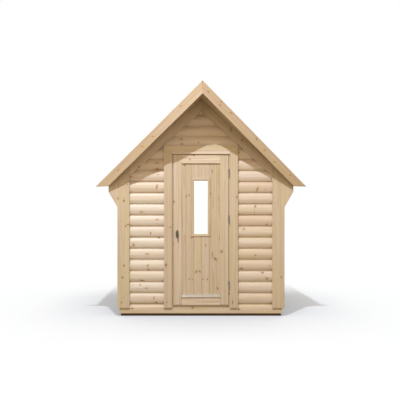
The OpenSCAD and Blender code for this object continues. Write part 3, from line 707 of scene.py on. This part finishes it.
# mitred beads round the glass: a moulded one outside, a square stop inside
windowBeads = {
    "middle": 1.310, "glassWidth": 0.165, "glassHeight": 0.643, "seed": 90,
    "mitreGap": 0.0003,
    "bend": 0.3,   # where the round of an edge passes, in shares of it
    "outer": {"width": 0.030, "back": -0.966, "front": -0.978, "splay": 0.006, "round": 0.004},
    "inner": {"width": 0.009, "back": -0.948, "front": -0.960, "splay": 0.0008, "round": 0.0008},
}


def mitreBeads():
    b = windowBeads
    draw = random.Random(b["seed"])
    whole = newWood()
    for ring in (b["outer"], b["inner"]):
        wide, back, front, splay, turn = (ring[key] for key in ("width", "back", "front", "splay", "round"))
        # section from the glass outwards: splayed towards the glass, rounded outside
        section = [(0, back), (0, front + splay), (splay, front), (wide - turn, front),
                   (wide - turn * b["bend"], front + turn * b["bend"]), (wide, front + turn), (wide, back)]
        for quarter in range(4):
            halfLong, halfOut = (b["glassWidth"] / 2, b["glassHeight"] / 2)[::1 if quarter % 2 == 0 else -1]
            end = halfLong + wide
            bar = pullBar(-end, end, [(y, halfOut + out) for out, y in section])
            for hand in (1, -1):
                corner = (hand * (halfLong - b["mitreGap"]), 0, halfOut)
                saw(bar, corner, Vector((hand, 0, -1)).normalized())
            setGrain(bar, bar.verts[:], Vector((1, 0, 0)), Vector((0, -1, 0)), draw, usual)
            quarterTurn = Matrix.Rotation(quarter * math.pi / 2, 3, "Y")
            bmesh.ops.rotate(bar, cent=(0, 0, 0), matrix=quarterTurn, verts=bar.verts[:])
            bmesh.ops.translate(bar, vec=(0, 0, b["middle"]), verts=bar.verts[:])
            addTo(whole, bar)
    finishPiece(whole, "windowBeads", woodOf["spruce_door"], "window_beads")


mitreBeads()
frame["nodes"]["window_glass"].data.materials.clear()
frame["nodes"]["window_glass"].data.materials.append(satinGlass)
print("window glazed")


# metalwork: the CAD's solids with their edges broken
metalTurning = 40   # only edges that turn by more degrees than this are broken
metalwork = [("door_drip_rail", millAluminium, 0.001), ("door_pulls", brownedSteel, 0.0),
             ("frame_hinges", greySteel, 0.0007), ("door_hinges", greySteel, 0.0007)]
for nodeName, metal, eased in metalwork:
    solid = copyNode(nodeName)
    if eased:
        softenEdges(solid, eased, metalTurning)
    finishPiece(solid, pieceName(nodeName), metal, nodeName)

# the outer pull stands on a thin oval plate
pullPlate = {"middle": (-0.2855, -0.984, 0.987), "half": (0.017, 0.047), "thick": 0.003, "eased": 0.0008,
             "sides": 64}


def makePlate():
    p = pullPlate
    plate = bmesh.new()
    bmesh.ops.create_cone(plate, cap_ends=True, segments=p["sides"], radius1=1, radius2=1, depth=p["thick"])
    bmesh.ops.rotate(plate, cent=(0, 0, 0), matrix=Matrix.Rotation(math.pi / 2, 3, "X"), verts=plate.verts[:])
    bmesh.ops.scale(plate, vec=(p["half"][0], 1, p["half"][1]), verts=plate.verts[:])
    softenEdges(plate, p["eased"], metalTurning)
    front = Vector(p["middle"]) - Vector((0, p["thick"] / 2, 0))
    bmesh.ops.translate(plate, vec=front, verts=plate.verts[:])
    finishPiece(plate, "pullPlate", brownedSteel, sitsOn="door_pulls")


makePlate()
print("metalwork dressed")


# studio: a key light from the upper left, a weak warm lamp in front, soft fill all round, and a white floor
# with lamps of its own, so that its shadow fans out to both sides without a second one on the front
studio = {
    "floorSize": 60, "floorSeen": "#e3eaf4", "floorBounce": "#a09380",
    "fadeFrom": 0.4, "fadeTo": 2.3,                # how far back the floor turns into the backdrop
    "cornerReach": 1.3, "cornerTone": "#d2d6dd",   # painted shade: the floor's colour darkens toward this tone close to the cabin
    "cornerFull": 0.3, "paintedShadeSamples": 8,
    "fill": 0.58, "fillColour": "#fff2e0",
}
# the first two lamps light all but the floor, and the suns the floor only
lamps = {
    "key": {"kind": "POINT", "place": (-1.44, -5.42, 6.57), "colour": "#eaf2ff", "strength": 1680,
            "radius": 0.07, "floor": "EXCLUDE"},
    "front": {"kind": "AREA", "place": (-0.6, -6.5, 4.2), "colour": "#ffdcb4", "strength": 85,
              "size": 4, "floor": "EXCLUDE"},
    "floorRight": {"kind": "SUN", "towards": (0.335, 0.475, -1.0), "colour": "#fffdfa", "strength": 1.3,
                   "angle": 2, "floor": "INCLUDE"},
    "floorLeft": {"kind": "SUN", "towards": (-0.165, 0.475, -1.0), "colour": "#fffdfa", "strength": 1.3,
                  "angle": 2, "floor": "INCLUDE"},
}


# 1 where the camera sees a place itself, in metal or through glass, and 0 for the light it throws on things
def seenDirectly(tree):
    rays = addNode(tree, "LightPath", {}).outputs
    mirrored = addNode(tree, "Math", {"operation": "MAXIMUM"},
                       {0: rays["Is Glossy Ray"], 1: rays["Is Transmission Ray"]})
    return addNode(tree, "Math", {"operation": "MAXIMUM"}, {0: rays["Is Camera Ray"], 1: mirrored})


# painted studio floor: matt white to the camera, fading into the backdrop behind the cabin,
# a duller tone in the light that it throws back, and painted shade close to the cabin
def makeFloorPaint():
    material, tree = newMaterial("paint_matt_white")
    seen = seenDirectly(tree)
    paint = addNode(tree, "Mix", {"data_type": "RGBA", 6: linear(studio["floorBounce"]),
                                  7: linear(studio["floorSeen"])}, {0: seen})
    # painted shade: an ambient-occlusion mask darkens the floor's colour toward a cool grey close to the
    # cabin, standing in for its contact shadow
    corner = addNode(tree, "AmbientOcclusion",
                     {"samples": studio["paintedShadeSamples"], "Distance": studio["cornerReach"]})
    clear = addNode(tree, "MapRange", {1: studio["cornerFull"], 2: 1.0}, {0: corner.outputs["AO"]})
    paintedShade = addNode(tree, "Mix", {"data_type": "RGBA", 6: linear(studio["cornerTone"]), 7: (1, 1, 1, 1)},
                  {0: clear})
    paintedShadeFloor = addNode(tree, "Mix", {"data_type": "RGBA", "blend_type": "MULTIPLY", 0: 1.0},
                     {6: paint.outputs[2], 7: paintedShade.outputs[2]})
    matt = addNode(tree, "BsdfDiffuse", {}, {"Color": paintedShadeFloor.outputs[2]})
    place = addNode(tree, "TexCoord", {}).outputs["Object"]
    where = addNode(tree, "SeparateXYZ", {}, {0: place})
    fade = addNode(tree, "MapRange",
                   {"interpolation_type": "SMOOTHSTEP", 1: studio["fadeFrom"], 2: studio["fadeTo"]},
                   {0: where.outputs["Y"]})
    faded = addNode(tree, "Math", {"operation": "MULTIPLY"}, {0: fade, 1: seen})
    white = addNode(tree, "Emission", {"Color": (1, 1, 1, 1), "Strength": 1.0})
    swept = addNode(tree, "MixShader", {}, {0: faded, 1: matt, 2: white})
    addNode(tree, "OutputMaterial", {}, {0: swept})
    return material


floorMesh = bmesh.new()
bmesh.ops.create_grid(floorMesh, x_segments=1, y_segments=1, size=studio["floorSize"] / 2)
floorData = bpy.data.meshes.new("floor")
floorMesh.to_mesh(floorData)
floorMesh.free()
floorData.materials.append(makeFloorPaint())
floor = bpy.data.objects.new("floor", floorData)
scene.collection.objects.link(floor)

# a white backdrop to the camera, and warm fill for the light all round
world = bpy.data.worlds.new("studio")
scene.world = world
world.use_nodes = True
world.node_tree.nodes.clear()
seen = seenDirectly(world.node_tree)
fill = addNode(world.node_tree, "Background",
               {"Color": linear(studio["fillColour"]), "Strength": studio["fill"]})
backdrop = addNode(world.node_tree, "Background", {"Color": (1, 1, 1, 1), "Strength": 1.0})
both = addNode(world.node_tree, "MixShader", {}, {0: seen, 1: fill, 2: backdrop})
addNode(world.node_tree, "OutputWorld", {}, {0: both})

for lampName, s in lamps.items():
    lamp = bpy.data.lights.new(lampName + "Light", s["kind"])
    lamp.energy = s["strength"]
    lamp.color = linear(s["colour"])[:3]
    holder = bpy.data.objects.new(lampName + "Light", lamp)
    if s["kind"] == "SUN":
        lamp.angle = math.radians(s["angle"])
        holder.rotation_euler = Vector(s["towards"]).to_track_quat("-Z", "Y").to_euler()
    elif s["kind"] == "AREA":
        lamp.size = s["size"]
        holder.location = s["place"]
        holder.rotation_euler = (math.pi / 2, 0, 0)
    else:
        lamp.shadow_soft_size = s["radius"]
        holder.location = s["place"]
    scene.collection.objects.link(holder)
    lit = bpy.data.collections.new(lampName + "Lit")
    lit.objects.link(floor)
    lit.collection_objects[0].light_linking.link_state = s["floor"]
    holder.light_linking.receiver_collection = lit

# the photograph's view: level, a little left of the middle, framed by a small shift;
# focal length and centre are in pixels of a picture this wide
view = {"place": (-0.230, -6.502, 1.138), "focal": 458.9, "wide": 400, "centre": (181.8, 221.4),
        "sensor": 36, "far": 200}
camera = bpy.data.cameras.new("camera")
camera.sensor_width = view["sensor"]
camera.lens = view["sensor"] * view["focal"] / view["wide"]
camera.shift_x = 0.5 - view["centre"][0] / view["wide"]
camera.shift_y = view["centre"][1] / view["wide"] - 0.5
camera.clip_end = view["far"]
cameraHolder = bpy.data.objects.new("camera", camera)
cameraHolder.location = view["place"]
cameraHolder.rotation_euler = (math.pi / 2, 0, 0)
scene.collection.objects.link(cameraHolder)
scene.camera = cameraHolder
scene.view_settings.view_transform = "Standard"
print("studio lit")

bpy.context.view_layer.update()
